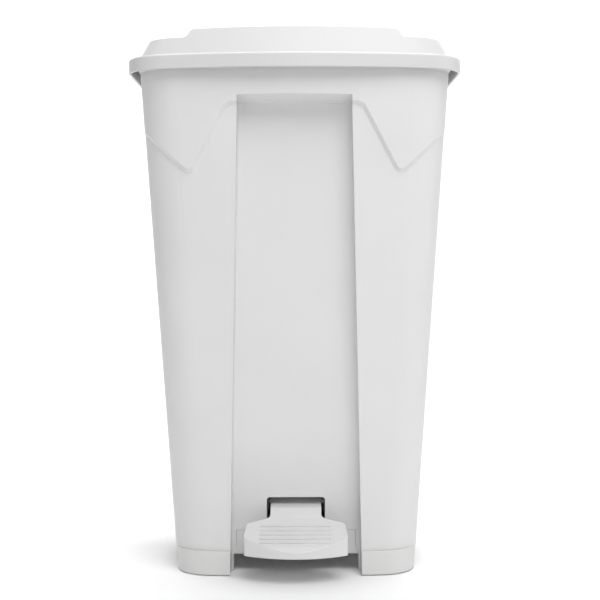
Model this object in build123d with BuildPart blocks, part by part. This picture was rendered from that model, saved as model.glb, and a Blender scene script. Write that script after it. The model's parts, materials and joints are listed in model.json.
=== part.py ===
from build123d import *
import os
from math import asin, cos, radians, sin, sqrt, tan

# A step-on waste bin of about 90 litres. Millimetres, +Z up, the pedal faces -Y.
# The origin is on the floor, in the middle of the bin's width and depth.

# Overall sizes with the lid shut
overall_width = 504
overall_depth = 424
overall_height = 830

# Clearances
running_fit = 0.08
seat_fit = 0.04
part_gap = 0.4
buffer_gap = 0.3
hole_depth_spare = 0.6

# Heights of the main levels: the first two belong to the base, the others hang from the top
seam_height = 39
floor_height = 122
rim_step_height = overall_height - 63
rim_height = overall_height - 54
skirt_height = overall_height - 64.5
ledge_height = overall_height - 43
tier_height = overall_height - 15

# The lid's outline and the hinge line, which the tub follows
knuckle_radius = 9
hinge_y = overall_depth / 2 - knuckle_radius
hinge_height = rim_height - 1
lid_half_width = overall_width / 2
lid_front = -overall_depth / 2
lid_back = hinge_y - 13
lid_bow_radius = 860
lid_front_corner = 72
lid_back_corner = 55
lid_wall = 3.5
ledge_width = 16
tier_lean = 14
skirt_edge_radius = 4
plateau_half_width = lid_half_width - 94
plateau_crown = 2
plateau_rounding = 9
plateau_end_slope = 4
lid_rib_thickness = 2.5
lid_rib_depth = 9
lid_rib_pitch = 63
lid_rib_places = [step * lid_rib_pitch for step in (-1.5, -0.5, 0.5, 1.5)]
lid_rib_end_gap = 23

# The tub, at the seam with the base and at the level where its taper ends
tub_half_width = (lid_half_width - 63.3, lid_half_width - 16.7)
tub_front = (lid_front + 64, lid_front + 20)
tub_back = (hinge_y - 34, hinge_y - 24)
tub_corner = (60, 67)
tub_bow_radius = 1250
tub_wall = 3
floor_thickness = 3
rim_flare = 3
rim_flare_rise = 5
buffer_x = tub_half_width[1] + 1
buffer_y = 100
buffer_radius = 4

# The front recess that the pedal stands in
recess_half_width = (100.4, 85.2)
recess_low = 27
recess_mouth = overall_height - 101
recess_ceiling = overall_height - 112
recess_bend = 190
recess_back = (lid_front + 108, lid_front + 88, lid_front + 64)
recess_fillet = 6
recess_bend_radius = 400

# The front panels sink below two V-shaped steps
panel_depth = 5.5
step_bevel = 6
v_top = overall_height - 117
v_top_end = recess_half_width[1] + 13
v_point = (lid_half_width - 96.5, overall_height - 224)
v_arm_slope = 0.91
v_rounding = 12

# The rear channel of the push rod, and its cover
channel_half_width = 24
channel_floor = hinge_y - 43
channel_wall = 12
channel_face = hinge_y - 11
channel_top = hinge_height - 27
cover_thickness = 2.5
cover_bottom = seam_height + 5
cover_top = channel_top - 6
cover_edge = 1.5
cover_corner = 5
cover_rounding = 1
cover_screw_inset = 12

# The base
base_inset = 1.2
foot_side_step = 3.1
base_wall = 4
base_edge_radius = 3
deck_thickness = 3
foot_inner = recess_half_width[0] - foot_side_step
foot_front = tub_front[0] + 86
foot_rear = tub_back[0] - 81
foot_clearance = 0.8
pad_radius = 13
pad_thickness = 3.5
pad_edge = 0.6
pad_x = (foot_inner + tub_half_width[0]) / 2
pad_y = (tub_front[0] + 52, tub_back[0] - 42)
post_x = tub_half_width[0] - 38.7
post_y = (foot_front + 32, foot_rear - 33)
screw_post_radius = 8
kick_plate_top = 65

# Screws: one size of shank and head
screw_radius = 2
screw_head_radius = 4
screw_head_height = 2.4
base_screw_length = 22
pivot_screw_length = 26
cover_screw_length = 13
bracket_screw_length = 12
lug_screw_length = 9.5

# The pivot of the pedal: pin, hub, bushes, posts and keepers
pivot_y = lid_front + 187
pivot_height = 95
pivot_pin_radius = 5
lever_half_width = 15
lever_thickness = 6
lever_hub_radius = pivot_pin_radius + 4
lever_hub_half_length = 43
bush_radius = pivot_pin_radius + 3
bush_flange_radius = pivot_pin_radius + 6
bush_flange_thickness = 2
post_inner = lever_hub_half_length + bush_flange_thickness + 1
post_thickness = 12
post_half_depth = bush_radius + 14
keeper_height = bush_radius + 6
keeper_edge = 3
keeper_screw_step = bush_radius + 8
pivot_pin_half_length = post_inner + post_thickness + 8
clip_thickness = 2
pin_clip_inset = 4

# The pedal, from inside its slot to the lip at its front
neck_half_width = 39
neck_height = 18
neck_rear = (lid_front + 124, 111)
neck_front = (lid_front + 90, 102)
shoulder = (lid_front + 70, 88)
crease = (lid_front + 13, 58)
lip_bottom = 41
lip_drop = 7
tread_front = lid_front + 6
tread_side_front = lid_front + 33
pedal_side_gap = 21.9
tread_half_width = recess_half_width[0] - pedal_side_gap
tread_shoulder_half_width = tread_half_width - 4
shoulder_slant = 8
pedal_skin = 1.6
pedal_screw_steps = (22, 41)
lever_nose_gap = 11
lever_bend_drop = 2
lever_tail_gap = 16
tab_reach = 38
tab_low = 2
tab_high = 7
pedal_wall = 5
pedal_corner = 6.5
pedal_bend_radius = 12
rib_count = 5
rib_pitch = 9.6
rib_length = 2 * tread_half_width - 49
rib_width = 2.2
rib_rise = 1.2
rib_sink = 1
rib_edge = 8
slot_half_width = neck_half_width + 6
slot_top = 117
slot_rounding = 5

# The linkage: the lid turns lid_travel degrees while the push rod rises by rod_stroke
crank_radius = 29.25
lid_travel = 80
rod_radius = 3.5
rod_bend_radius = rod_radius + 4.5
rod_play = 1.3
link_x = 11
link_thickness = 4
link_rim = 4.5
rod_end_x = link_x + link_thickness + 6
rod_clip_radius = rod_radius + 3.5
rod_clip_gap = 1.5
guide_heights = (185, hinge_height - 135)
guide_height = 26
guide_half_width = rod_radius + 5.5
guide_foot_half_width = 21
guide_foot_thickness = 6
guide_screw_x = 16
guide_edge = 1.5
lug_flange_top = ledge_height - lid_wall - 8
lug_flange_thickness = 3
lug_front = lid_back - 29
lug_side = -18
lug_screw_x = -10
lug_screw_y = (lid_back - 22, lid_back - 9)
shelf_half_width = 20

# The hinge
hinge_rod_radius = 4
knuckle_x = lid_half_width - 122
knuckle_half_length = 12
ear_gap = 1
ear_thickness = 5
ear_low = 29
ear_high = 2
bracket_thickness = 3
bracket_half_width = 22
bracket_corner = 4
bracket_low = hinge_height - 79
bracket_high = channel_top
bracket_pad_face = hinge_y - 16
bracket_pad_margin = 4
bracket_screw_x = bracket_half_width - 7
bracket_screw_rises = (8, 22)
hinge_rod_half_length = knuckle_x + bracket_half_width + 4
cap_thickness = 4
cap_radius = 7
cap_wall = 1

# Worked out from the above
half_travel = radians(lid_travel / 2)
rod_y = hinge_y - crank_radius * cos(half_travel)
rod_stroke = 2 * crank_radius * sin(half_travel)
rod_top = hinge_height - crank_radius * sin(half_travel)
rod_bottom = pivot_height - rod_stroke / 2
pedal_half_travel = asin(rod_stroke / 2 / (rod_y - pivot_y))
cavity_top = floor_height + floor_thickness
deck_bottom = seam_height - deck_thickness
pad_places = [(side * pad_x, y) for side in (-1, 1) for y in pad_y]
post_places = [(side * post_x, y) for side in (-1, 1) for y in post_y]

# The rubber stop hangs from the floor down to where the lever is at full travel
stop_radius = 11
stop_y = rod_y - 60
stop_edge = 2
lever_rise_at_stop = (stop_y + stop_radius - pivot_y) * tan(pedal_half_travel)
stop_thickness = floor_height - pivot_height - lever_rise_at_stop - lever_thickness / 2 - part_gap


def tapered(pair, height):
    """A size that changes evenly from the seam to the top of the tub's taper."""
    low, high = pair
    return low + (high - low) * (height - seam_height) / (rim_step_height - seam_height)


def outline(height, half_width, front, back, bow_radius, front_corner, back_corner):
    """A level outline with a bowed front, straight sides and back, and round corners."""
    sag = bow_radius - sqrt(bow_radius**2 - half_width**2)
    with BuildSketch(Plane.XY.offset(height)) as plan:
        with BuildLine():
            ThreePointArc((-half_width, front + sag), (0, front), (half_width, front + sag))
            Polyline(
                (half_width, front + sag),
                (half_width, back),
                (-half_width, back),
                (-half_width, front + sag),
            )
        make_face()
        fillet(plan.vertices().group_by(Axis.Y)[0], front_corner)
        fillet(plan.vertices().group_by(Axis.Y)[-1], back_corner)
    return plan.sketch


def tub_outline(height, inset=0, front_inset=0):
    """The tub's outline at a height, drawn in all round and again at the front."""
    return outline(
        height,
        tapered(tub_half_width, height) - inset,
        tapered(tub_front, height) + inset + front_inset,
        tapered(tub_back, height) - inset,
        tub_bow_radius,
        tapered(tub_corner, height) - inset,
        tapered(tub_corner, height) - inset,
    )


def tub_block(low, high, inset=0, front_inset=0):
    """The tub's tapered form between two heights, as a solid."""
    with BuildPart() as block:
        loft(sections=[tub_outline(low, inset, front_inset), tub_outline(high, inset, front_inset)])
    return block.part


def recess_wall_y(height):
    """How far back the recess reaches at a height."""
    foot, bend, head = recess_back
    if height < recess_bend:
        return foot + (bend - foot) * (height - recess_low) / (recess_bend - recess_low)
    return bend + (head - bend) * (height - recess_bend) / (recess_ceiling - recess_bend)


def recess_side_x(height):
    """Half the recess's width at a height."""
    low, high = recess_half_width
    return low + (high - low) * (height - recess_low) / (recess_mouth - recess_low)


def recess_space(grow=0):
    """The space of the front recess, grown backwards, sideways and upwards by a wall."""
    below = -recess_low
    above = recess_mouth + 2 * recess_low
    outside = 1.5 * tub_front[1]
    mouth_slope = (recess_mouth - recess_ceiling) / (recess_back[2] - tub_front[1])
    ceiling_outside = recess_ceiling + mouth_slope * (recess_back[2] - outside)
    with BuildPart() as space:
        with BuildSketch(Plane.XZ.offset(-outside)):
            with BuildLine():
                Polyline(
                    (-recess_side_x(below) - grow, below),
                    (recess_side_x(below) + grow, below),
                    (recess_side_x(above) + grow, above),
                    (-recess_side_x(above) - grow, above),
                    close=True,
                )
            make_face()
        extrude(amount=outside)
        with BuildSketch(Plane.YZ) as side_view:
            with BuildLine():
                Polyline(
                    (outside, below),
                    (recess_wall_y(below) + grow, below),
                    (recess_wall_y(recess_bend) + grow, recess_bend),
                    (recess_wall_y(recess_ceiling) + grow, recess_ceiling + grow),
                    (outside, ceiling_outside + grow),
                    close=True,
                )
            make_face()
            bend = side_view.vertices().sort_by_distance((recess_back[1], recess_bend))[0]
            fillet(bend, recess_bend_radius)
        extrude(amount=tub_half_width[1], both=True, mode=Mode.INTERSECT)
        side_edges = space.edges().filter_by(lambda edge: abs(edge.center().X) > recess_half_width[1] / 2)
        back_edges = side_edges.filter_by(lambda edge: edge.center().Y > tub_front[1] and edge.center().Z > 0)
        fillet(back_edges, recess_fillet + grow)
    return space.part


def inside_space():
    """The bin's inside, and the room for the mechanism under its floor."""
    with BuildPart() as space:
        add(tub_block(cavity_top, rim_height + 1, inset=tub_wall, front_inset=panel_depth))
        add(tub_block(seam_height - 1, floor_height, inset=tub_wall, front_inset=panel_depth))
        add(recess_space(grow=tub_wall), mode=Mode.SUBTRACT)
        with Locations((0, channel_floor - tub_wall, floor_height)):
            Box(
                2 * (channel_half_width + tub_wall),
                2 * channel_face,
                2 * overall_height,
                align=(Align.CENTER, Align.MIN, Align.MIN),
                mode=Mode.SUBTRACT,
            )
    return space.part


def base_hollows():
    """The hollow under the base's deck and those of its four feet."""
    ring = base_inset + base_wall
    with BuildPart() as space:
        add(tub_block(0, recess_low, inset=ring))
        with Locations((0, 0, 0)):
            Box(
                2 * (foot_inner + base_wall),
                3 * tub_back[1],
                recess_low,
                align=(Align.CENTER, Align.CENTER, Align.MIN),
                mode=Mode.SUBTRACT,
            )
        with Locations((0, foot_front - base_wall, 0)):
            Box(
                3 * tub_half_width[1],
                foot_rear - foot_front + 2 * base_wall,
                recess_low,
                align=(Align.CENTER, Align.MIN, Align.MIN),
                mode=Mode.SUBTRACT,
            )
        add(tub_block(recess_low, deck_bottom, inset=ring))
        add(recess_space(grow=base_wall), mode=Mode.SUBTRACT)
    return space.part


def is_step_edge(edge):
    """True for an edge of a V-shaped step: neither upright nor running front to back."""
    direction = edge.tangent_at(0.5)
    below_rim = edge.center().Z < rim_step_height - 5
    on_front = edge.center().Y < tub_front[0] / 2
    return below_rim and on_front and abs(direction.Z) < 0.95 and abs(direction.Y) < 0.8


def collar_block():
    """The front of the tub above the V-shaped steps, with its lower edge bevelled."""
    reach = 300
    arm_end = v_point[1] + v_arm_slope * (reach - v_point[0])
    with BuildPart() as collar:
        add(tub_block(v_point[1] - 20, rim_step_height))
        with BuildSketch(Plane.XZ) as steps:
            with BuildLine():
                Polyline(
                    (-reach, arm_end),
                    (-v_point[0], v_point[1]),
                    (-v_top_end, v_top),
                    (v_top_end, v_top),
                    (v_point[0], v_point[1]),
                    (reach, arm_end),
                    (reach, overall_height),
                    (-reach, overall_height),
                    close=True,
                )
            make_face()
            v_corners = steps.vertices().filter_by(lambda corner: abs(corner.X) < reach - 1)
            fillet(v_corners, v_rounding)
        extrude(amount=reach, mode=Mode.INTERSECT)
        chamfer(collar.edges().filter_by(is_step_edge), step_bevel)
    return collar.part


def screws(places, length):
    """A pan-head screw at each place, its head outside along the place's Z and its shank inside."""
    slot = (screw_head_radius * 1.1, screw_head_radius * 0.25, screw_head_height * 0.5)
    with Locations(places):
        Cylinder(screw_radius, length, align=(Align.CENTER, Align.CENTER, Align.MAX))
        Cylinder(screw_head_radius, screw_head_height, align=(Align.CENTER, Align.CENTER, Align.MIN))
        with Locations((0, 0, screw_head_height)):
            for turn in (0, 90):
                Box(
                    *slot,
                    rotation=(0, 0, turn),
                    align=(Align.CENTER, Align.CENTER, Align.MAX),
                    mode=Mode.SUBTRACT,
                )


def screw_holes(places, depth):
    """A hole for a screw into each place, against the place's Z."""
    with Locations(places):
        Cylinder(
            screw_radius + running_fit,
            depth,
            align=(Align.CENTER, Align.CENTER, Align.MAX),
            mode=Mode.SUBTRACT,
        )


def cross_bore(radius, y, height):
    """A hole along X through everything at a point of the side view."""
    with Locations((0, y, height)):
        Cylinder(radius, 2 * overall_width, rotation=(0, 90, 0), mode=Mode.SUBTRACT)


def finish(builder, name):
    """Labels a finished piece and writes it to its own file."""
    builder.part.label = name
    export_step(builder.part, f"parts/{name}.step")


def facing(direction, points):
    """Planes at the points, each with its Z along the direction."""
    return [Plane(origin=point, z_dir=direction) for point in points]


slot_middle = recess_wall_y(slot_top)
kick_plate_half_width = recess_side_x(kick_plate_top) - recess_fillet - 1 - part_gap

# Fastener places
down = (0, 0, -1)
up = (0, 0, 1)
back = (0, 1, 0)
base_screw_planes = facing(down, [(x, y, deck_bottom) for x, y in post_places])
cover_screw_heights = [
    cover_bottom + cover_screw_inset,
    (cover_bottom + cover_top) / 2,
    cover_top - cover_screw_inset,
]
cover_screw_x = channel_half_width + channel_wall / 2
cover_screw_planes = facing(
    back,
    [
        (side * cover_screw_x, channel_face + cover_thickness, z)
        for side in (-1, 1)
        for z in cover_screw_heights
    ],
)
bracket_screw_planes = facing(
    back,
    [
        (side * knuckle_x + offset, bracket_pad_face + bracket_thickness, bracket_low + rise)
        for side in (-1, 1)
        for offset in (-bracket_screw_x, bracket_screw_x)
        for rise in bracket_screw_rises
    ],
)
guide_screw_planes = facing(
    back,
    [
        (side * guide_screw_x, channel_floor + guide_foot_thickness, z)
        for side in (-1, 1)
        for z in guide_heights
    ],
)
keeper_screw_planes = facing(
    up,
    [
        (side * (post_inner + post_thickness / 2), pivot_y + step, pivot_height + keeper_height)
        for side in (-1, 1)
        for step in (-keeper_screw_step, keeper_screw_step)
    ],
)
lug_screw_planes = facing(
    down,
    [(lug_screw_x, y, lug_flange_top - lug_flange_thickness) for y in lug_screw_y],
)

os.makedirs("parts", exist_ok=True)

# The tub
with BuildPart() as body_shell:
    add(tub_block(seam_height, rim_step_height, front_inset=panel_depth))
    add(collar_block())
    loft(
        sections=[
            tub_outline(rim_step_height),
            tub_outline(rim_step_height + rim_flare_rise, inset=-rim_flare),
        ]
    )
    loft(
        sections=[
            tub_outline(rim_step_height + rim_flare_rise, inset=-rim_flare),
            tub_outline(rim_height, inset=-rim_flare),
        ]
    )
    with BuildSketch(Plane.XY.offset(seam_height)):
        with Locations((0, channel_floor - tub_wall)):
            Rectangle(
                2 * (channel_half_width + channel_wall),
                channel_face - channel_floor + tub_wall,
                align=(Align.CENTER, Align.MIN),
            )
    extrude(amount=channel_top - seam_height)
    for side in (-1, 1):
        with BuildSketch(Plane.XY.offset(bracket_low - bracket_pad_margin)):
            with Locations((side * knuckle_x, bracket_pad_face)):
                Rectangle(
                    2 * (bracket_half_width + bracket_pad_margin),
                    bracket_pad_face - tub_back[0] + tub_wall,
                    align=(Align.CENTER, Align.MAX),
                )
        extrude(amount=bracket_high - bracket_low + bracket_pad_margin)
    add(recess_space(), mode=Mode.SUBTRACT)
    add(inside_space(), mode=Mode.SUBTRACT)
    # The channel for the push rod, open to the back and, below the floor, to the inside
    with Locations((0, channel_floor, seam_height - 1)):
        Box(
            2 * channel_half_width,
            channel_face,
            overall_height,
            align=(Align.CENTER, Align.MIN, Align.MIN),
            mode=Mode.SUBTRACT,
        )
    with Locations((0, channel_floor - 2 * tub_wall, seam_height - 1)):
        Box(
            2 * channel_half_width,
            channel_face,
            floor_height - seam_height + 1,
            align=(Align.CENTER, Align.MIN, Align.MIN),
            mode=Mode.SUBTRACT,
        )
    # The pedal slot, and the window that the kick plate of the base fills
    with BuildSketch(Plane.XZ.offset(-slot_middle - recess_low)) as slot:
        with Locations((0, slot_top)):
            Rectangle(2 * slot_half_width, slot_top - seam_height + 1, align=(Align.CENTER, Align.MAX))
        fillet(slot.vertices().group_by(Axis.Y)[-1], slot_rounding)
    extrude(amount=2 * recess_low, mode=Mode.SUBTRACT)
    with Locations((0, slot_middle, kick_plate_top)):
        Box(
            2 * (kick_plate_half_width + part_gap),
            2 * recess_low,
            kick_plate_top - seam_height + 1,
            align=(Align.CENTER, Align.CENTER, Align.MAX),
            mode=Mode.SUBTRACT,
        )
    with Locations([(x, y, seam_height) for x, y in post_places]):
        Cylinder(screw_post_radius, floor_height - seam_height, align=(Align.CENTER, Align.CENTER, Align.MIN))
    screw_holes(base_screw_planes, base_screw_length + hole_depth_spare)
    screw_holes(cover_screw_planes, cover_screw_length + hole_depth_spare)
    screw_holes(bracket_screw_planes, bracket_screw_length + hole_depth_spare)
    screw_holes(guide_screw_planes, guide_foot_thickness + tub_wall - hole_depth_spare)
finish(body_shell, "body_shell")


# The base: four hollow feet under a deck, the kick plate and the bearing posts
with BuildPart() as base_frame:
    add(tub_block(foot_clearance, seam_height, inset=base_inset))
    fillet(base_frame.edges().group_by(Axis.Z)[0], base_edge_radius)
    add(recess_space(), mode=Mode.SUBTRACT)
    add(base_hollows(), mode=Mode.SUBTRACT)
    Box(
        2 * foot_inner,
        3 * tub_back[1],
        recess_low,
        align=(Align.CENTER, Align.CENTER, Align.MIN),
        mode=Mode.SUBTRACT,
    )
    with Locations((0, foot_front, 0)):
        Box(
            3 * tub_half_width[1],
            foot_rear - foot_front,
            recess_low,
            align=(Align.CENTER, Align.MIN, Align.MIN),
            mode=Mode.SUBTRACT,
        )
    with Locations([(x, y, pad_thickness) for x, y in pad_places]):
        Cylinder(pad_radius + 1, deck_bottom - pad_thickness, align=(Align.CENTER, Align.CENTER, Align.MIN))
    with BuildSketch(Plane.YZ):
        with BuildLine():
            Polyline(
                (recess_wall_y(deck_bottom), deck_bottom),
                (recess_wall_y(kick_plate_top), kick_plate_top - part_gap),
                (recess_wall_y(kick_plate_top) + base_wall, kick_plate_top - part_gap),
                (recess_wall_y(deck_bottom) + base_wall, deck_bottom),
                close=True,
            )
        make_face()
    extrude(amount=kick_plate_half_width, both=True)
    for side in (-1, 1):
        with Locations((side * (post_inner + post_thickness / 2), pivot_y, deck_bottom)):
            Box(
                post_thickness,
                2 * post_half_depth,
                pivot_height - deck_bottom,
                align=(Align.CENTER, Align.CENTER, Align.MIN),
            )
    cross_bore(bush_radius + seat_fit, pivot_y, pivot_height)
    screw_holes(keeper_screw_planes, pivot_screw_length + hole_depth_spare)
    screw_holes(base_screw_planes, 2 * deck_thickness)
finish(base_frame, "base_frame")

with BuildPart() as foot_pads:
    with Locations([(x, y, 0) for x, y in pad_places]):
        Cylinder(pad_radius, pad_thickness, align=(Align.CENTER, Align.CENTER, Align.MIN))
    chamfer(foot_pads.edges().group_by(Axis.Z)[0], pad_edge)
finish(foot_pads, "foot_pads")

with BuildPart() as base_screws:
    screws(base_screw_planes, base_screw_length)
finish(base_screws, "base_screws")

# Pivot bearings, pin and clips
for side, name in ((-1, "left"), (1, "right")):
    with BuildPart() as bush:
        with BuildSketch(Plane.YZ.offset(side * post_inner)):
            with Locations((pivot_y, pivot_height)):
                Circle(bush_radius)
        extrude(amount=side * post_thickness)
        with BuildSketch(Plane.YZ.offset(side * post_inner)):
            with Locations((pivot_y, pivot_height)):
                Circle(bush_flange_radius)
        extrude(amount=-side * bush_flange_thickness)
        cross_bore(pivot_pin_radius + running_fit, pivot_y, pivot_height)
    finish(bush, f"pivot_bush_{name}")

with BuildPart() as bearing_keepers:
    for side in (-1, 1):
        with Locations((side * (post_inner + post_thickness / 2), pivot_y, pivot_height)):
            Box(
                post_thickness,
                2 * post_half_depth,
                keeper_height,
                align=(Align.CENTER, Align.CENTER, Align.MIN),
            )
    chamfer(bearing_keepers.edges().filter_by(Axis.X).group_by(Axis.Z)[-1], keeper_edge)
    cross_bore(bush_radius + seat_fit, pivot_y, pivot_height)
    screw_holes(keeper_screw_planes, keeper_height)
finish(bearing_keepers, "bearing_keepers")

with BuildPart() as keeper_screws:
    screws(keeper_screw_planes, pivot_screw_length)
finish(keeper_screws, "keeper_screws")

with BuildPart() as pedal_pivot_pin:
    with Locations((0, pivot_y, pivot_height)):
        Cylinder(pivot_pin_radius, 2 * pivot_pin_half_length, rotation=(0, 90, 0))
    chamfer(pedal_pivot_pin.edges().filter_by(GeomType.CIRCLE), pad_edge)
finish(pedal_pivot_pin, "pedal_pivot_pin")

with BuildPart() as pivot_pin_clips:
    clip_x = pivot_pin_half_length - pin_clip_inset
    with Locations([(side * clip_x, pivot_y, pivot_height) for side in (-1, 1)]):
        Cylinder(lever_hub_radius, clip_thickness, rotation=(0, 90, 0))
    cross_bore(pivot_pin_radius + seat_fit, pivot_y, pivot_height)
finish(pivot_pin_clips, "pivot_pin_clips")

# The slope of the tread, from its shoulder down to the crease at its front edge
tread_slope = (shoulder[1] - crease[1]) / (shoulder[0] - crease[0])
tread_tilt = sqrt(1 + tread_slope**2)
tread_normal = (0, -tread_slope / tread_tilt, 1 / tread_tilt)


def tread_point(y, below=0):
    """A point on the tread's top plane, or a distance under it along its normal."""
    height = crease[1] + tread_slope * (y - crease[0])
    return (0, y - below * tread_normal[1], height - below * tread_normal[2])


def pedal_plan(inset=0):
    """The pedal seen from above, drawn in by an inset."""
    with BuildSketch() as plan:
        with BuildLine():
            Polyline(
                (-tread_half_width, tread_side_front),
                (-tread_shoulder_half_width, shoulder[0] - shoulder_slant),
                (-neck_half_width, shoulder[0] + shoulder_slant / 2),
                (-neck_half_width, neck_rear[0] + 2 * inset),
                (neck_half_width, neck_rear[0] + 2 * inset),
                (neck_half_width, shoulder[0] + shoulder_slant / 2),
                (tread_shoulder_half_width, shoulder[0] - shoulder_slant),
                (tread_half_width, tread_side_front),
            )
            ThreePointArc(
                (tread_half_width, tread_side_front),
                (0, tread_front),
                (-tread_half_width, tread_side_front),
            )
        make_face()
        fillet(plan.vertices().filter_by(lambda corner: corner.Y < neck_rear[0] - 1), pedal_corner)
        if inset:
            offset(amount=-inset, mode=Mode.REPLACE)
    return plan.sketch


def pedal_side(lower, underside):
    """The pedal seen from the side: its top line, lowered by a wall, closed by an underside."""
    drop = lower * tread_tilt
    with BuildSketch(Plane.YZ) as side_view:
        with BuildLine():
            Polyline(
                (neck_rear[0] + lower, neck_rear[1] - drop),
                (neck_front[0], neck_front[1] - drop),
                (shoulder[0], shoulder[1] - drop),
                (crease[0] + lower, crease[1] - drop + lower * tread_slope),
                (tread_front + lower, crease[1] - lip_drop - drop),
                *underside,
                close=True,
            )
        make_face()
        for bend in (neck_front, shoulder):
            fillet(side_view.vertices().sort_by_distance((bend[0], bend[1] - drop))[0], pedal_bend_radius)
    return side_view.sketch


def pedal_hollow():
    """The space inside the pedal, open below and behind."""
    with BuildPart() as space:
        extrude(pedal_plan(pedal_wall), amount=neck_rear[1] + neck_height)
        open_underside = [(tread_front + pedal_wall, 0), (neck_rear[0] + pedal_wall, 0)]
        extrude(
            pedal_side(pedal_wall, open_underside),
            amount=2 * tread_half_width,
            both=True,
            mode=Mode.INTERSECT,
        )
    return space.part


lever_top_below = pedal_wall + part_gap
pedal_screw_length = lever_thickness + lever_top_below - pedal_skin
tread_screws = facing(
    (0, -tread_normal[1], -tread_normal[2]),
    [tread_point(crease[0] + step, lever_top_below + lever_thickness) for step in pedal_screw_steps],
)

# The pedal: a hollow ribbed moulding over the front of the lever
with BuildPart() as pedal:
    extrude(pedal_plan(), amount=neck_rear[1] + neck_height)
    outer_underside = [
        (tread_front, lip_bottom),
        (tread_side_front + 8, lip_bottom),
        (shoulder[0] - 6, shoulder[1] - neck_height - 6),
        (neck_front[0], neck_front[1] - neck_height - 2),
        (neck_rear[0], neck_rear[1] - neck_height),
    ]
    extrude(pedal_side(0, outer_underside), amount=2 * tread_half_width, both=True, mode=Mode.INTERSECT)
    add(pedal_hollow(), mode=Mode.SUBTRACT)
    for row in range(rib_count):
        rib_y = crease[0] + rib_edge + row * rib_pitch / tread_tilt
        with BuildSketch(Plane(origin=tread_point(rib_y, rib_sink), x_dir=(1, 0, 0), z_dir=tread_normal)):
            SlotOverall(rib_length, rib_width)
        extrude(amount=rib_sink + rib_rise)
    screw_holes(tread_screws, pedal_screw_length + part_gap / 4)
finish(pedal, "pedal")

with BuildPart() as pedal_screws:
    screws(tread_screws, pedal_screw_length)
finish(pedal_screws, "pedal_screws")

# The steel lever: a bent bar, its hub on the pivot pin and the tab that lifts the push rod
lever_line_below = lever_top_below + lever_thickness / 2
with BuildPart() as pedal_lever:
    with BuildSketch(Plane.YZ) as bar:
        with BuildLine() as bar_line:
            Polyline(
                tread_point(crease[0] + lever_nose_gap, lever_line_below)[1:],
                tread_point(shoulder[0] - lever_bend_drop, lever_line_below)[1:],
                (neck_front[0], neck_front[1] - lever_line_below - lever_bend_drop),
                (pivot_y, pivot_height),
                (rod_y - lever_tail_gap, rod_bottom + tab_low),
            )
        trace(line_width=lever_thickness)
    extrude(amount=lever_half_width, both=True)
    with Locations((0, pivot_y, pivot_height)):
        Cylinder(lever_hub_radius, 2 * lever_hub_half_length, rotation=(0, 90, 0))
    with BuildSketch(Plane.YZ.offset(link_x)):
        with BuildLine() as tab_outline:
            CenterArc((rod_y, rod_bottom), rod_radius + rod_play + link_rim, 0, 360)
            Line((rod_y - tab_reach, rod_bottom + tab_low), (rod_y - tab_reach, rod_bottom + tab_high))
        make_hull()
    extrude(amount=link_thickness)
    cross_bore(rod_radius + rod_play, rod_y, rod_bottom)
    cross_bore(pivot_pin_radius + seat_fit, pivot_y, pivot_height)
    screw_holes(tread_screws, lever_thickness + 1)
finish(pedal_lever, "pedal_lever")

# A rubber stop under the bin's floor, met by the lever at full travel
with BuildPart() as pedal_stop_buffer:
    with Locations((0, stop_y, floor_height)):
        Cylinder(stop_radius, stop_thickness, align=(Align.CENTER, Align.CENTER, Align.MAX))
    fillet(pedal_stop_buffer.edges().group_by(Axis.Z)[0], stop_edge)
finish(pedal_stop_buffer, "pedal_stop_buffer")

# The push rod, bent to the side at both ends, with a push-on clip on each end
with BuildPart() as push_rod:
    with BuildLine() as rod_line:
        FilletPolyline(
            (rod_end_x, rod_y, rod_bottom),
            (0, rod_y, rod_bottom),
            (0, rod_y, rod_top),
            (rod_end_x, rod_y, rod_top),
            radius=rod_bend_radius,
        )
    with BuildSketch(Plane(origin=(rod_end_x, rod_y, rod_bottom), z_dir=(-1, 0, 0))):
        Circle(rod_radius)
    sweep()
finish(push_rod, "push_rod")

for height, name in ((rod_bottom, "rod_clip_lower"), (rod_top, "rod_clip_upper")):
    with BuildPart() as rod_clip:
        with Locations((link_x + link_thickness + rod_clip_gap + clip_thickness / 2, rod_y, height)):
            Cylinder(rod_clip_radius, clip_thickness, rotation=(0, 90, 0))
        cross_bore(rod_radius + seat_fit, rod_y, height)
    finish(rod_clip, name)

# Two guides hold the rod in its channel
for height, name in zip(guide_heights, ("rod_guide_lower", "rod_guide_upper")):
    with BuildPart() as rod_guide:
        with Locations((0, channel_floor, height)):
            Box(
                2 * guide_foot_half_width,
                guide_foot_thickness,
                guide_height,
                align=(Align.CENTER, Align.MIN, Align.CENTER),
            )
            Box(
                2 * guide_half_width,
                channel_face - channel_floor - 2 * part_gap,
                guide_height,
                align=(Align.CENTER, Align.MIN, Align.CENTER),
            )
        with Locations((0, rod_y, height)):
            Cylinder(rod_radius + running_fit, guide_height + 1, mode=Mode.SUBTRACT)
        fillet(rod_guide.edges().filter_by(Axis.Z).group_by(Axis.Y)[-1], guide_edge)
        screw_holes(guide_screw_planes, guide_foot_thickness)
    finish(rod_guide, name)

with BuildPart() as guide_screws:
    screws(guide_screw_planes, guide_foot_thickness + tub_wall - 2 * hole_depth_spare)
finish(guide_screws, "guide_screws")

# The cover over the rod channel
with BuildPart() as rear_cover:
    cover_half_width = channel_half_width + channel_wall - cover_edge
    with BuildSketch(Plane.XZ.offset(-channel_face)) as panel:
        with Locations((0, (cover_bottom + cover_top) / 2)):
            RectangleRounded(2 * cover_half_width, cover_top - cover_bottom, cover_corner)
    extrude(amount=-cover_thickness)
    fillet(rear_cover.faces().sort_by(Axis.Y)[-1].edges(), cover_rounding)
    screw_holes(cover_screw_planes, cover_thickness)
finish(rear_cover, "rear_cover")

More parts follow.
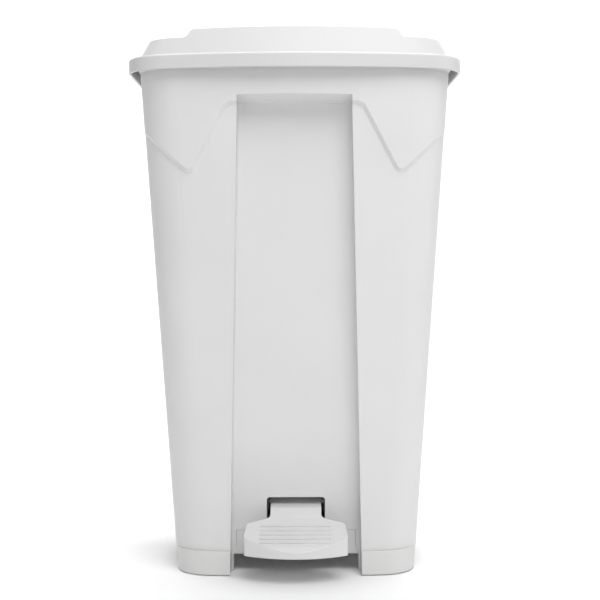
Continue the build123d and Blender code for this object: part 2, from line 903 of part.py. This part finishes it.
with BuildPart() as cover_screws:
    screws(cover_screw_planes, cover_screw_length)
finish(cover_screws, "cover_screws")

# The hinge: two brackets on the tub, a long rod and its push-on caps
for side, name in ((-1, "left"), (1, "right")):
    with BuildPart() as hinge_bracket:
        with BuildSketch(Plane.XZ.offset(-bracket_pad_face)):
            with Locations((side * knuckle_x, (bracket_low + bracket_high) / 2)):
                RectangleRounded(2 * bracket_half_width, bracket_high - bracket_low, bracket_corner)
        extrude(amount=-bracket_thickness)
        for ear in (-1, 1):
            ear_start = side * knuckle_x + ear * (knuckle_half_length + ear_gap)
            with BuildSketch(Plane.YZ.offset(ear_start)):
                with BuildLine():
                    CenterArc((hinge_y, hinge_height), knuckle_radius, 0, 360)
                    Line(
                        (bracket_pad_face, bracket_low + ear_low),
                        (bracket_pad_face, bracket_high - ear_high),
                    )
                make_hull()
            extrude(amount=ear * ear_thickness)
        cross_bore(hinge_rod_radius + seat_fit, hinge_y, hinge_height)
        screw_holes(bracket_screw_planes, bracket_thickness)
    finish(hinge_bracket, f"hinge_bracket_{name}")

with BuildPart() as bracket_screws:
    screws(bracket_screw_planes, bracket_screw_length)
finish(bracket_screws, "bracket_screws")

with BuildPart() as hinge_rod:
    with Locations((0, hinge_y, hinge_height)):
        Cylinder(hinge_rod_radius, 2 * hinge_rod_half_length, rotation=(0, 90, 0))
finish(hinge_rod, "hinge_rod")

with BuildPart() as hinge_rod_caps:
    for side in (-1, 1):
        with Locations((side * (hinge_rod_half_length + cap_wall - cap_thickness / 2), hinge_y, hinge_height)):
            Cylinder(cap_radius, cap_thickness, rotation=(0, 90, 0))
    with Locations((0, hinge_y, hinge_height)):
        Cylinder(
            hinge_rod_radius + seat_fit,
            2 * (hinge_rod_half_length + seat_fit),
            rotation=(0, 90, 0),
            mode=Mode.SUBTRACT,
        )
    fillet(hinge_rod_caps.edges().filter_by(GeomType.CIRCLE).group_by(SortBy.RADIUS)[-1], cap_wall)
finish(hinge_rod_caps, "hinge_rod_caps")


def lid_outline(height, inset):
    """The outline of the lid's upper tier, which leans inwards as it rises."""
    lean = tier_lean * (height - ledge_height) / (tier_height - ledge_height)
    drawn_in = ledge_width + lean + inset
    return outline(
        height,
        lid_half_width - drawn_in,
        lid_front + drawn_in,
        lid_back - drawn_in,
        lid_bow_radius,
        lid_front_corner - ledge_width - inset,
        lid_back_corner - ledge_width - inset,
    )


def lid_tier(low, inset=0):
    """The lid's upper tier with its raised middle, or the hollow inside it."""
    with BuildPart() as tier:
        loft(sections=[lid_outline(low, inset), lid_outline(overall_height + 2, inset)])
        with BuildSketch(Plane.XZ) as profile:
            with BuildLine():
                Polyline(
                    (plateau_half_width - inset - plateau_end_slope, overall_height - plateau_crown - inset),
                    (plateau_half_width - inset + plateau_end_slope, tier_height - inset),
                    (lid_half_width, tier_height - inset),
                    (lid_half_width, skirt_height),
                    (-lid_half_width, skirt_height),
                    (-lid_half_width, tier_height - inset),
                    (-plateau_half_width + inset - plateau_end_slope, tier_height - inset),
                    (-plateau_half_width + inset + plateau_end_slope, overall_height - plateau_crown - inset),
                )
                ThreePointArc(
                    (-plateau_half_width + inset + plateau_end_slope, overall_height - plateau_crown - inset),
                    (0, overall_height - inset),
                    (plateau_half_width - inset - plateau_end_slope, overall_height - plateau_crown - inset),
                )
            make_face()
            bends = profile.vertices().filter_by(lambda corner: abs(corner.X) < plateau_half_width + 10)
            fillet(bends, plateau_rounding)
        extrude(amount=2 * lid_half_width, both=True, mode=Mode.INTERSECT)
    return tier.part


with BuildPart() as lid:
    skirt_plan = outline(
        skirt_height, lid_half_width, lid_front, lid_back, lid_bow_radius, lid_front_corner, lid_back_corner
    )
    extrude(skirt_plan, amount=ledge_height - skirt_height)
    fillet(lid.edges().group_by(Axis.Z)[-1], skirt_edge_radius)
    add(lid_tier(ledge_height - skirt_edge_radius))
    skirt_hollow = outline(
        skirt_height,
        lid_half_width - lid_wall,
        lid_front + lid_wall,
        lid_back - lid_wall,
        lid_bow_radius,
        lid_front_corner - lid_wall,
        lid_back_corner - lid_wall,
    )
    extrude(skirt_hollow, amount=ledge_height - skirt_height - lid_wall, mode=Mode.SUBTRACT)
    add(lid_tier(ledge_height - 2 * lid_wall, inset=lid_wall), mode=Mode.SUBTRACT)
    # Stiffening ribs under the raised middle
    rib_low = tier_height - lid_rib_depth
    for x in lid_rib_places:
        with Locations((x, 0, rib_low)):
            Box(
                lid_rib_thickness,
                2 * (lid_back - ledge_width - tier_lean - lid_rib_end_gap),
                overall_height - lid_wall - rib_low,
                align=(Align.CENTER, Align.CENTER, Align.MIN),
            )
    # Hinge knuckles with their arms, and the shelf that carries the lift lug
    for side in (-1, 1):
        with Locations((side * knuckle_x, lid_back - lid_wall, skirt_height)):
            Box(
                2 * knuckle_half_length,
                hinge_y - lid_back + lid_wall,
                2 * (hinge_height - skirt_height),
                align=(Align.CENTER, Align.MIN, Align.MIN),
            )
        with Locations((side * knuckle_x, hinge_y, hinge_height)):
            Cylinder(knuckle_radius, 2 * knuckle_half_length, rotation=(0, 90, 0))
    with Locations((0, lid_back - lid_wall / 2, lug_flange_top)):
        Box(
            2 * shelf_half_width,
            lid_back - lid_wall / 2 - lug_front,
            ledge_height - lid_wall / 2 - lug_flange_top,
            align=(Align.CENTER, Align.MAX, Align.MIN),
        )
    cross_bore(hinge_rod_radius + running_fit, hinge_y, hinge_height)
    screw_holes(lug_screw_planes, lug_screw_length + hole_depth_spare)
    # A notch in the rear skirt for the lug to pass
    with Locations((link_x + link_thickness / 2, lid_back, skirt_height)):
        Box(
            3 * link_thickness,
            4 * lid_wall,
            lug_flange_top - skirt_height - 1,
            align=(Align.CENTER, Align.CENTER, Align.MIN),
            mode=Mode.SUBTRACT,
        )
finish(lid, "lid")

with BuildPart() as lid_buffers:
    buffer_low = rim_height + buffer_gap
    with Locations([(side * buffer_x, end * buffer_y, buffer_low) for side in (-1, 1) for end in (-1, 1)]):
        Cylinder(
            buffer_radius,
            ledge_height - lid_wall - rim_height - buffer_gap,
            align=(Align.CENTER, Align.CENTER, Align.MIN),
        )
    fillet(lid_buffers.edges().group_by(Axis.Z)[0], buffer_gap)
finish(lid_buffers, "lid_buffers")

# The steel lug under the lid, slotted because the rod rises straight while the lug swings
crank_direction = (-cos(half_travel), -sin(half_travel))
slot_inner = (hinge_y - rod_y) - rod_play
slot_outer = crank_radius + rod_play
slot_middle_radius = (slot_inner + slot_outer) / 2
with BuildPart() as lid_lift_lug:
    with BuildSketch(Plane.YZ.offset(link_x)):
        with BuildLine():
            for reach in (slot_inner, slot_outer):
                lug_y = hinge_y + reach * crank_direction[0]
                lug_z = hinge_height + reach * crank_direction[1]
                CenterArc((lug_y, lug_z), rod_radius + rod_play + link_rim, 0, 360)
            Line(
                (lug_front + 4, lug_flange_top - 1),
                (lid_back - lid_wall - 2, lug_flange_top - 1),
            )
        make_hull()
    extrude(amount=link_thickness)
    with Locations((link_x + link_thickness, lug_front + 2, lug_flange_top)):
        Box(
            link_x + link_thickness - lug_side,
            lid_back - lid_wall - part_gap - lug_front - 2,
            lug_flange_thickness,
            align=(Align.MAX, Align.MIN, Align.MAX),
        )
    slot_y = hinge_y + slot_middle_radius * crank_direction[0]
    slot_z = hinge_height + slot_middle_radius * crank_direction[1]
    with BuildSketch(Plane.YZ.offset(link_x - 1)):
        with Locations((slot_y, slot_z)):
            SlotCenterToCenter(
                slot_outer - slot_inner,
                2 * (rod_radius + rod_play),
                rotation=lid_travel / 2,
            )
    extrude(amount=link_thickness + 2, mode=Mode.SUBTRACT)
    screw_holes(lug_screw_planes, lug_flange_thickness)
finish(lid_lift_lug, "lid_lift_lug")

with BuildPart() as lug_screws:
    screws(lug_screw_planes, lug_screw_length)
finish(lug_screws, "lug_screws")
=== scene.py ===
import json
import math

import bpy
from mathutils import Euler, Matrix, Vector


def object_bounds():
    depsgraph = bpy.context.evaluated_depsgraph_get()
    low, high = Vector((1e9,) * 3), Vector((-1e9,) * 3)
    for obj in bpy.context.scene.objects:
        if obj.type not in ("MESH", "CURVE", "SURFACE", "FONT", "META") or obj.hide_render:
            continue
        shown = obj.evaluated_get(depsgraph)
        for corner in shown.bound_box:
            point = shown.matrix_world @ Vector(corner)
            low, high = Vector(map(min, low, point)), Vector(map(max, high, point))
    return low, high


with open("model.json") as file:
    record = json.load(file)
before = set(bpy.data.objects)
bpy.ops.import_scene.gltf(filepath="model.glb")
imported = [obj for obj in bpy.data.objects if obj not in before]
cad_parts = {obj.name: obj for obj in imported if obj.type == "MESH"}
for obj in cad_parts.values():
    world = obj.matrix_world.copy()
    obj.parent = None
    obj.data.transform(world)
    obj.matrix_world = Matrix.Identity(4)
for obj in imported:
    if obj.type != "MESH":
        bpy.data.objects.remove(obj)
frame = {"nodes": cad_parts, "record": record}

CAD_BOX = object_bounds()

# ---------------------------------------------------------------- settings, in metres
MILLIMETRE = 0.001

CAMERA_DISTANCE = 1.90  # in front of the frontmost point of the bin
CAMERA_HEIGHT = 0.488
CAMERA_SIDE = 0.0075

# Camera angles, in degrees; a positive pitch looks down
CAMERA_PITCH = 1.90
CAMERA_YAW = 0.0
CAMERA_ROLL = 0.17

# Lens and sensor, in millimetres as Blender takes them
CAMERA_LENS = 78.0
SENSOR_WIDTH = 36.0

# The floor, which bends up behind the bin into a backdrop
FLOOR_REACH = 6.0
BEND_START = 1.6
BEND_RADIUS = 1.2
BEND_STEPS = 16
FLOOR_COLOR = (0.93, 0.93, 0.93)
FLOOR_ROUGHNESS = 0.9
FLOOR_SPECULAR = 0.1

# Lights: a place, what each is aimed at (None is the middle of the bin), its size and its watts
WORLD_STRENGTH = 0.25
LIGHTS = {
    "overhead": dict(place=(0.60, -1.9, 2.8), target=None, size=(2.0, 2.0), power=62.0),
    "front": dict(place=(0.3, -3.2, 0.8), target=None, size=(1.2, 1.2), power=10.0),
    "left_side": dict(place=(-2.4, -0.4, 1.2), target=None, size=(1.2, 1.6), power=5.0),
    "right_side": dict(place=(2.4, -0.2, 1.2), target=None, size=(1.2, 1.6), power=8.0),
    "back_wash": dict(place=(0.0, 0.6, 3.2), target=(0.0, 2.4, 0.6), size=(3.0, 1.0), power=90.0),
}

# Edge roundings that only the shading sees
EDGE_SAMPLES = 6
PLASTIC_EDGE = 1.2 * MILLIMETRE
PEDAL_EDGE = 1.8 * MILLIMETRE
RUBBER_EDGE = 0.4 * MILLIMETRE
STEEL_EDGE = 0.3 * MILLIMETRE

# Plastic: how dark its mottling and scuffs go, how much paler its edges, how much rougher a scuff
PLASTIC_SPECULAR = 0.42
MOTTLE_SHADE = 0.955
SCUFF_SHADE = 0.86
WORN_SHARE = 0.8
SCUFF_ROUGHNESS = 0.12

# Steel: how dark its dull patches and specks go
PATCH_SHADE = 0.82
SPECK_SHADE = 0.45

DUST_COLOR = (0.22, 0.21, 0.20)


def grey(level):
    return (level, level, level)


# color is the clean plastic, worn the paler plastic at its edges; grain and scuffs are strengths
PLASTICS = {
    "tub_plastic": dict(color=grey(0.70), worn=grey(0.80), roughness=0.46, grain=0.30, scuffs=0.5),
    "base_plastic": dict(
        color=(0.68, 0.68, 0.675), worn=grey(0.79), roughness=0.50, grain=0.35, scuffs=0.9
    ),
    "lid_plastic": dict(color=grey(0.64), worn=grey(0.76), roughness=0.40, grain=0.22, scuffs=0.35),
    "pedal_plastic": dict(
        color=grey(0.69), worn=grey(0.86), roughness=0.44, grain=0.30, scuffs=1.0,
        edge_radius=PEDAL_EDGE,
    ),
    "cover_plastic": dict(
        color=(0.68, 0.68, 0.675), worn=grey(0.79), roughness=0.48, grain=0.35, scuffs=0.5
    ),
    "bearing_plastic": dict(
        color=(0.66, 0.65, 0.61), worn=(0.75, 0.74, 0.70), roughness=0.38, grain=0.15, scuffs=0.4
    ),
    "cap_plastic": dict(
        color=(0.030, 0.030, 0.032), worn=grey(0.10), roughness=0.42, grain=0.25, scuffs=0.4
    ),
}
RUBBERS = {
    "rubber": dict(color=(0.028, 0.027, 0.026)),
}
# brush is how finely the brushing varies along each axis: it runs along the axis with the least
STEELS = {
    "bracket_steel": dict(color=(0.62, 0.63, 0.64), roughness=0.34, brush=(4.0, 30.0, 30.0)),
    "rod_steel": dict(color=(0.68, 0.69, 0.70), roughness=0.24, brush=(30.0, 30.0, 2.0)),
    "screw_steel": dict(color=(0.60, 0.60, 0.57), roughness=0.30, brush=(30.0, 30.0, 30.0)),
}


# ---------------------------------------------------------------- shader node helpers
def new_material(name):
    """An empty node material with its output and Principled shader."""
    material = bpy.data.materials.new(name)
    material.use_nodes = True
    tree = material.node_tree
    tree.nodes.clear()
    output = tree.nodes.new("ShaderNodeOutputMaterial")
    shader = tree.nodes.new("ShaderNodeBsdfPrincipled")
    tree.links.new(shader.outputs["BSDF"], output.inputs["Surface"])
    return material, tree, shader


def object_place(tree):
    """The object's own coordinates, in metres."""
    return tree.nodes.new("ShaderNodeTexCoord").outputs["Object"]


def noise(tree, coordinates, scale, detail, roughness, distortion=0.0):
    """A noise texture's value at the coordinates."""
    node = tree.nodes.new("ShaderNodeTexNoise")
    node.inputs["Scale"].default_value = scale
    node.inputs["Detail"].default_value = detail
    node.inputs["Roughness"].default_value = roughness
    node.inputs["Distortion"].default_value = distortion
    tree.links.new(coordinates, node.inputs["Vector"])
    return node.outputs["Fac"]


def stretched(tree, coordinates, scale):
    """The coordinates scaled by a different amount along each axis."""
    mapping = tree.nodes.new("ShaderNodeMapping")
    mapping.inputs["Scale"].default_value = scale
    tree.links.new(coordinates, mapping.inputs["Vector"])
    return mapping.outputs["Vector"]


def remap(tree, value, source, result):
    """Takes the value from the range source, clamped, to the range result."""
    node = tree.nodes.new("ShaderNodeMapRange")
    for name, number in zip(("From Min", "From Max", "To Min", "To Max"), (*source, *result)):
        node.inputs[name].default_value = number
    tree.links.new(value, node.inputs["Value"])
    return node.outputs["Result"]


def combine(tree, operation, first, second):
    """A Math node on two values, each a socket or a number."""
    node = tree.nodes.new("ShaderNodeMath")
    node.operation = operation
    for socket, value in zip(node.inputs, (first, second)):
        if isinstance(value, (int, float)):
            socket.default_value = value
        else:
            tree.links.new(value, socket)
    return node.outputs["Value"]


def color_socket(sockets, name=None):
    """The colour socket of a Mix node, which has sockets of the same name for other types."""
    return [s for s in sockets if s.type == "RGBA" and name in (None, s.name)][0]


def blend_colors(tree, factor, first, second):
    """Goes from the first colour to the second; a colour is a triple or a socket."""
    node = tree.nodes.new("ShaderNodeMix")
    node.data_type = "RGBA"
    tree.links.new(factor, node.inputs["Factor"])
    for name, color in (("A", first), ("B", second)):
        socket = color_socket(node.inputs, name)
        if isinstance(color, tuple):
            socket.default_value = (*color, 1.0)
        else:
            tree.links.new(color, socket)
    return color_socket(node.outputs)


def scaled(color, factor):
    return tuple(channel * factor for channel in color)


def bump(tree, height, normal, strength, depth):
    """The normal, tilted by a height map that is depth metres deep at full strength."""
    node = tree.nodes.new("ShaderNodeBump")
    node.inputs["Strength"].default_value = strength
    node.inputs["Distance"].default_value = depth
    tree.links.new(height, node.inputs["Height"])
    tree.links.new(normal, node.inputs["Normal"])
    return node.outputs["Normal"]


def rounded_normal(tree, radius):
    """The surface normal as if every sharp edge were rounded to a small radius."""
    node = tree.nodes.new("ShaderNodeBevel")
    node.samples = EDGE_SAMPLES
    node.inputs["Radius"].default_value = radius
    return node.outputs["Normal"]


def edge_mask(tree, radius):
    """1 at sharp edges and 0 on flat faces: how far the rounded normal leans from the true one."""
    geometry = tree.nodes.new("ShaderNodeNewGeometry")
    dot = tree.nodes.new("ShaderNodeVectorMath")
    dot.operation = "DOT_PRODUCT"
    tree.links.new(rounded_normal(tree, radius), dot.inputs[0])
    tree.links.new(geometry.outputs["Normal"], dot.inputs[1])
    return remap(tree, dot.outputs["Value"], (0.995, 0.86), (0.0, 1.0))


# ---------------------------------------------------------------- materials
def moulded_plastic(name, color, worn, roughness, grain, scuffs, edge_radius=PLASTIC_EDGE):
    """Moulded polyethylene: fine grain, slight mottling, scuffs, and edges that have gone paler."""
    material, tree, shader = new_material(name)
    place = object_place(tree)

    mottle = noise(tree, place, scale=9.0, detail=5.0, roughness=0.55)
    cloud = noise(tree, place, scale=2.2, detail=3.0, roughness=0.5)
    patchy = noise(tree, place, scale=14.0, detail=6.0, roughness=0.65)
    patchy = remap(tree, patchy, (0.42, 0.62), (0.0, 1.0))
    along = stretched(tree, place, (60.0, 60.0, 9.0))
    scratches = noise(tree, along, scale=6.0, detail=8.0, roughness=0.7, distortion=0.6)
    scuffed = remap(tree, scratches, (0.66, 0.74), (0.0, scuffs))
    marks = combine(tree, "MULTIPLY", scuffed, patchy)
    edges = combine(tree, "MULTIPLY", edge_mask(tree, edge_radius), patchy)

    shade = combine(
        tree, "ADD",
        remap(tree, mottle, (0.3, 0.7), (0.0, 0.5)),
        remap(tree, cloud, (0.3, 0.7), (0.0, 0.5)),
    )
    base = blend_colors(tree, shade, scaled(color, MOTTLE_SHADE), color)
    base = blend_colors(tree, marks, base, scaled(color, SCUFF_SHADE))
    base = blend_colors(tree, combine(tree, "MULTIPLY", edges, WORN_SHARE), base, worn)
    tree.links.new(base, shader.inputs["Base Color"])

    rough = remap(tree, mottle, (0.25, 0.75), (roughness - 0.06, roughness + 0.07))
    rougher = combine(tree, "MULTIPLY", scuffed, SCUFF_ROUGHNESS)
    rough = combine(tree, "ADD", rough, rougher)
    tree.links.new(rough, shader.inputs["Roughness"])
    shader.inputs["Specular IOR Level"].default_value = PLASTIC_SPECULAR

    sink = noise(tree, place, scale=7.0, detail=2.0, roughness=0.4)
    pebble = noise(tree, place, scale=900.0, detail=3.0, roughness=0.6)
    normal = rounded_normal(tree, edge_radius)
    normal = bump(tree, sink, normal, strength=0.35, depth=2.5 * MILLIMETRE)
    normal = bump(tree, pebble, normal, strength=grain, depth=0.15 * MILLIMETRE)
    tree.links.new(normal, shader.inputs["Normal"])
    return material


def steel(name, color, roughness, brush):
    """Zinc-plated or drawn steel: brushed, with duller patches and a few dark specks."""
    material, tree, shader = new_material(name)
    place = object_place(tree)

    lines = noise(tree, stretched(tree, place, brush), scale=40.0, detail=6.0, roughness=0.6)
    patches = noise(tree, place, scale=60.0, detail=5.0, roughness=0.6)
    specks = noise(tree, place, scale=420.0, detail=4.0, roughness=0.7)
    specks = remap(tree, specks, (0.66, 0.72), (0.0, 0.7))

    base = blend_colors(tree, patches, scaled(color, PATCH_SHADE), color)
    base = blend_colors(tree, specks, base, scaled(color, SPECK_SHADE))
    tree.links.new(base, shader.inputs["Base Color"])
    shader.inputs["Metallic"].default_value = 1.0

    rough = remap(tree, lines, (0.3, 0.7), (roughness - 0.05, roughness + 0.08))
    tree.links.new(combine(tree, "ADD", rough, specks), shader.inputs["Roughness"])

    normal = rounded_normal(tree, STEEL_EDGE)
    normal = bump(tree, lines, normal, strength=0.25, depth=0.05 * MILLIMETRE)
    tree.links.new(normal, shader.inputs["Normal"])
    return material


def rubber(name, color):
    """Matt rubber with a fine grain and dust on it."""
    material, tree, shader = new_material(name)
    place = object_place(tree)

    dust = noise(tree, place, scale=160.0, detail=6.0, roughness=0.7)
    dust = remap(tree, dust, (0.45, 0.75), (0.0, 0.5))
    tree.links.new(blend_colors(tree, dust, color, DUST_COLOR), shader.inputs["Base Color"])
    tree.links.new(remap(tree, dust, (0.0, 0.5), (0.62, 0.85)), shader.inputs["Roughness"])

    grain = noise(tree, place, scale=1500.0, detail=3.0, roughness=0.6)
    normal = rounded_normal(tree, RUBBER_EDGE)
    normal = bump(tree, grain, normal, strength=0.5, depth=0.1 * MILLIMETRE)
    tree.links.new(normal, shader.inputs["Normal"])
    return material


def paint_nodes():
    """Gives each CAD node the material that its slot in the record names."""
    materials = {}
    for make, looks in ((moulded_plastic, PLASTICS), (rubber, RUBBERS), (steel, STEELS)):
        for name, look in looks.items():
            materials[name] = make(name, **look)
    slots = {entry["node"]: entry["material_slot"] for entry in frame["record"]["subparts"]}
    for node, piece in frame["nodes"].items():
        piece.data.materials.clear()
        piece.data.materials.append(materials[slots[node]])


# ---------------------------------------------------------------- floor, light and camera
def build_floor():
    """A pale floor that curves up into a backdrop behind the bin."""
    profile = [(-FLOOR_REACH, 0.0)]
    for step in range(BEND_STEPS + 1):
        angle = math.pi / 2 * step / BEND_STEPS
        rise = BEND_RADIUS - BEND_RADIUS * math.cos(angle)
        profile.append((BEND_START + BEND_RADIUS * math.sin(angle), rise))
    profile.append((BEND_START + BEND_RADIUS, FLOOR_REACH))
    vertices = [(side * FLOOR_REACH, y, z) for y, z in profile for side in (-1, 1)]
    faces = [(2 * row, 2 * row + 1, 2 * row + 3, 2 * row + 2) for row in range(len(profile) - 1)]
    mesh = bpy.data.meshes.new("studio_floor")
    mesh.from_pydata(vertices, [], faces)
    mesh.shade_smooth()
    floor = bpy.data.objects.new("studio_floor", mesh)
    bpy.context.scene.collection.objects.link(floor)
    material, _, shader = new_material("studio_white")
    shader.inputs["Base Color"].default_value = (*FLOOR_COLOR, 1.0)
    shader.inputs["Roughness"].default_value = FLOOR_ROUGHNESS
    shader.inputs["Specular IOR Level"].default_value = FLOOR_SPECULAR
    mesh.materials.append(material)


def light_world():
    """An even white light from all around."""
    world = bpy.data.worlds.new("studio")
    world.use_nodes = True
    background = world.node_tree.nodes["Background"]
    background.inputs["Color"].default_value = (1.0, 1.0, 1.0, 1.0)
    background.inputs["Strength"].default_value = WORLD_STRENGTH
    bpy.context.scene.world = world


def area_light(name, place, target, size, power):
    """A soft rectangular light at a place, aimed at a target or at the middle of the bin."""
    target = target or (0.0, 0.0, (CAD_BOX[1][2] - CAD_BOX[0][2]) / 2)
    data = bpy.data.lights.new(name, "AREA")
    data.shape = "RECTANGLE"
    data.size, data.size_y = size
    data.energy = power
    light = bpy.data.objects.new(name, data)
    light.location = place
    light.rotation_euler = (Vector(target) - Vector(place)).to_track_quat("-Z", "Y").to_euler()
    bpy.context.scene.collection.objects.link(light)


def place_camera():
    """A long lens in front of the bin, a little above its middle, looking slightly down."""
    data = bpy.data.cameras.new("camera")
    data.sensor_width = SENSOR_WIDTH
    data.lens = CAMERA_LENS
    camera = bpy.data.objects.new("camera", data)
    camera.location = (CAMERA_SIDE, CAD_BOX[0][1] - CAMERA_DISTANCE, CAMERA_HEIGHT)
    angles = (90 - CAMERA_PITCH, CAMERA_ROLL, CAMERA_YAW)
    camera.rotation_euler = Euler([math.radians(angle) for angle in angles], "XYZ")
    bpy.context.scene.collection.objects.link(camera)
    bpy.context.scene.camera = camera


paint_nodes()
build_floor()
light_world()
for name, light in LIGHTS.items():
    area_light(name, **light)
place_camera()
bpy.context.scene.view_settings.view_transform = "Standard"
